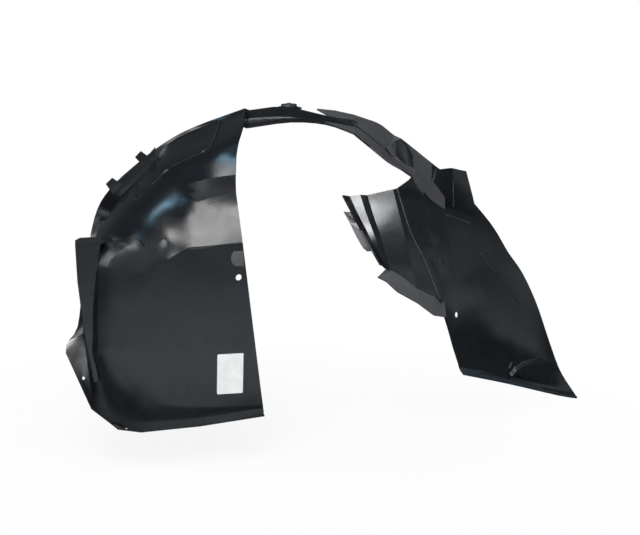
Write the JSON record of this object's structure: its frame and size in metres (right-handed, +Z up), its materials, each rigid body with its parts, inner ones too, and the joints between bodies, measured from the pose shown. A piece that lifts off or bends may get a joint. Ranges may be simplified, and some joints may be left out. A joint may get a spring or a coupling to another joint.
{
  "type": "wheel arch liner",
  "caption": "Front wheel arch liner: thin arched plastic moulding with a flat inner panel, domed tub, crown strip, pleated rear panel and rear flap.",
  "frame": {"origin": "centre of the fixing bore in the flat inner panel, on the panel's inboard face", "axes": "+X to the rear of the car, +Y outboard along the wheel's axle, +Z up"},
  "size_m": [0.8457, 0.2882, 0.4893],
  "materials": {
    "moulding": "satin-glossy black moulded plastic",
    "clip": "dull black plastic fastener",
    "label": "smooth white sticker, bare"
  },
  "bodies": {
    "root": {"liner": "moulding", "top_clip": "clip", "label": "label"}
  },
  "joints": []
}
